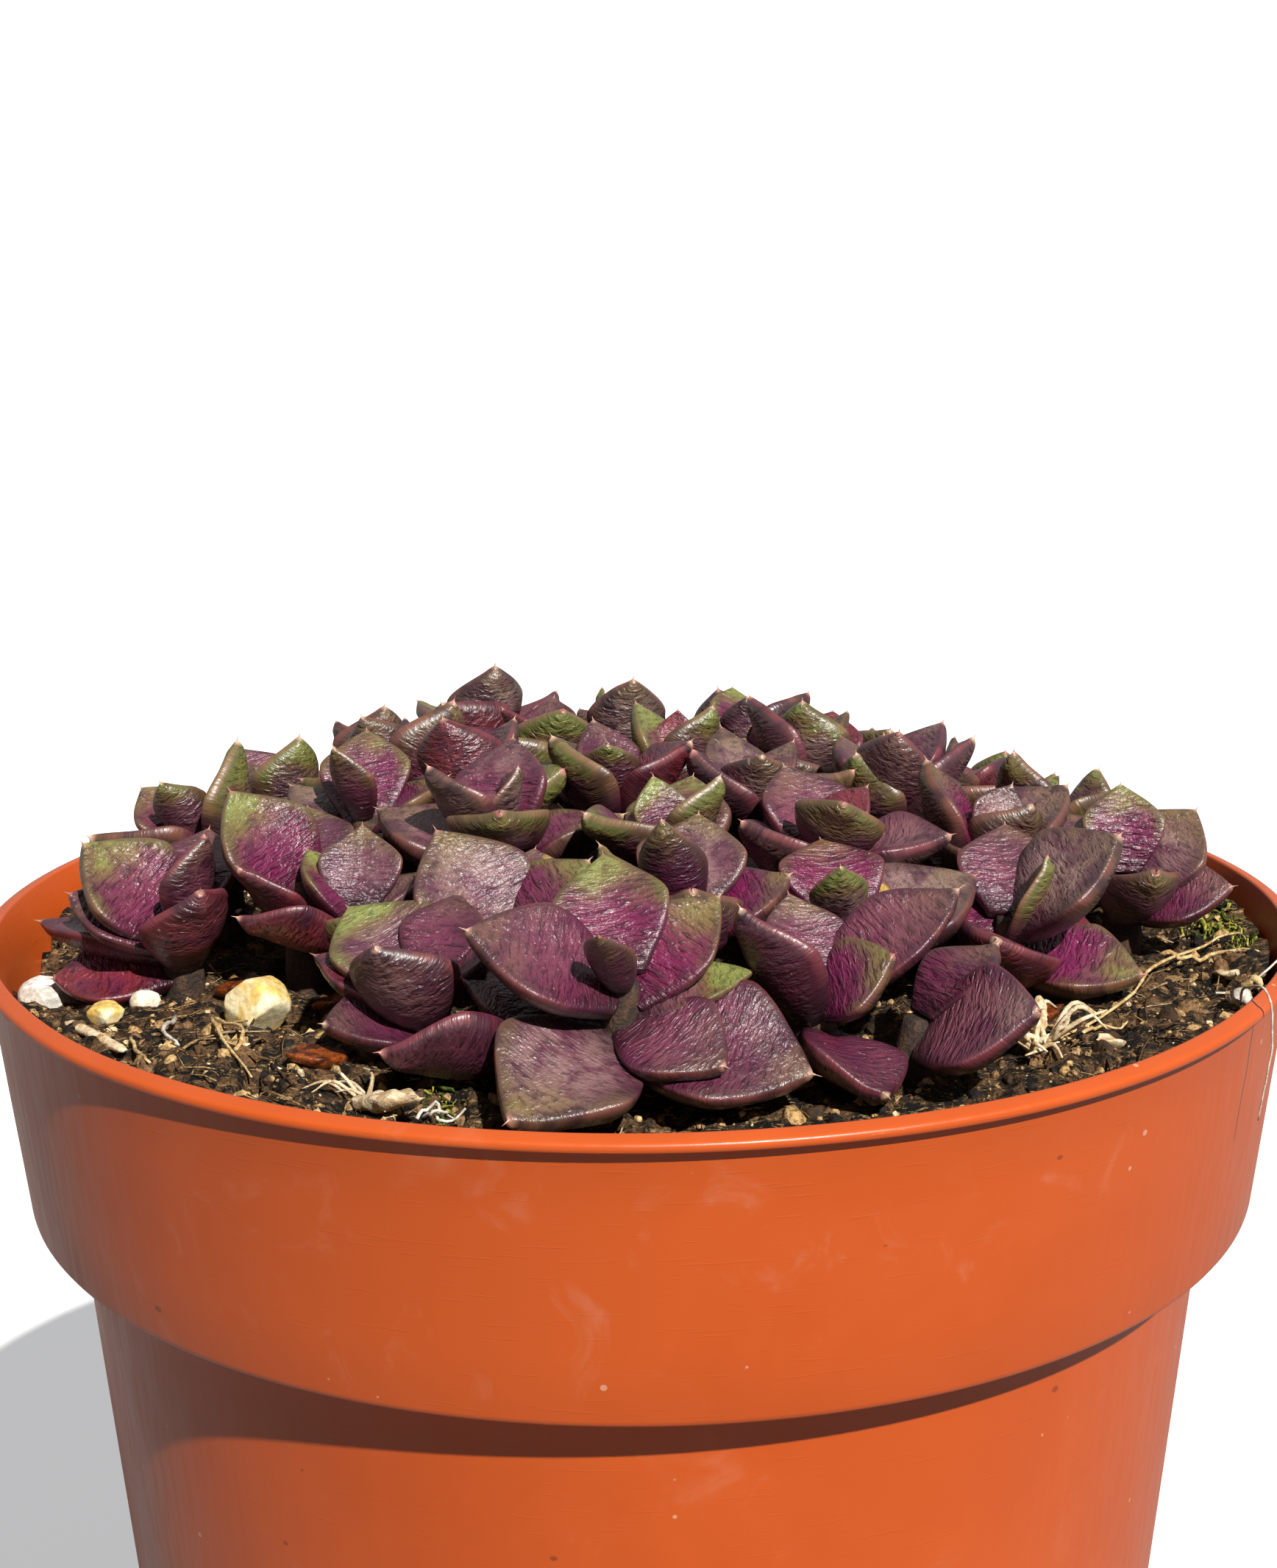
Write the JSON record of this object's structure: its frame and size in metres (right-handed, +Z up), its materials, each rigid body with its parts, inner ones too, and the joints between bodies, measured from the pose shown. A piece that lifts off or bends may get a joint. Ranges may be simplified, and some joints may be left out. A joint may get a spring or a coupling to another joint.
{
  "type": "potted succulent",
  "caption": "Mat of small thick-leaved purple and olive rosettes growing in a round plastic nursery pot filled with peaty soil.",
  "frame": {"origin": "centre of the pot's foot, on the surface it stands on", "axes": "+Z up along the pot's axis, -Y towards the front of the picture, +X to its right"},
  "size_m": [0.105, 0.105, 0.1077],
  "materials": {
    "pot_plastic": "satin, finely scuffed",
    "peat_soil": "rough, moist and fibrous",
    "leaf_flesh": "waxy, finely wrinkled, purple to olive",
    "dry_leaf": "waxy brown",
    "pebble": "smooth, half translucent",
    "dry_straw": "dry and fibrous"
  },
  "bodies": {
    "root": {"pot": "pot_plastic", "soil": "peat_soil", "front_middle": "leaf_flesh", "low_left": "leaf_flesh", "front_right": "leaf_flesh", "low_right": "leaf_flesh", "front_left": "leaf_flesh", "mid_left": "leaf_flesh", "centre_left": "leaf_flesh", "middle_front": "leaf_flesh", "inner_right": "leaf_flesh", "left_edge": "leaf_flesh", "right_front": "leaf_flesh", "left_inner": "leaf_flesh", "right_edge": "leaf_flesh", "left_ring": "leaf_flesh", "heart_left": "leaf_flesh", "heart_right": "leaf_flesh", "right_inner": "leaf_flesh", "right_ring": "leaf_flesh", "left_back": "leaf_flesh", "middle_left": "leaf_flesh", "middle": "leaf_flesh", "middle_right": "leaf_flesh", "right_middle": "leaf_flesh", "right_back": "leaf_flesh", "far_left": "leaf_flesh", "back_left": "leaf_flesh", "back_left_inner": "leaf_flesh", "back_middle": "leaf_flesh", "back_right_inner": "leaf_flesh", "back_right": "leaf_flesh", "far_right": "leaf_flesh", "rear_far_left": "leaf_flesh", "rear_left": "leaf_flesh", "rear_middle": "leaf_flesh", "rear_right": "leaf_flesh", "rear_far_right": "leaf_flesh", "edge_right": "leaf_flesh", "edge_rear_left": "leaf_flesh", "edge_rear_middle": "leaf_flesh", "edge_rear_right": "leaf_flesh", "fallen_leaf_left": "dry_leaf", "fallen_leaf_stone": "dry_leaf", "fallen_leaf_hollow": "dry_leaf", "fallen_leaf_rim": "dry_leaf", "fallen_leaf_front": "dry_leaf", "fallen_leaf_lip": "dry_leaf", "fallen_leaf_low": "dry_leaf", "fallen_leaf_right": "dry_leaf", "stone_yellow": "pebble", "stone_yellow_small": "pebble", "stone_cream": "pebble", "stone_white": "pebble", "straw_tuft": "dry_straw", "husk": "dry_straw", "straw": "dry_straw"}
  },
  "joints": []
}
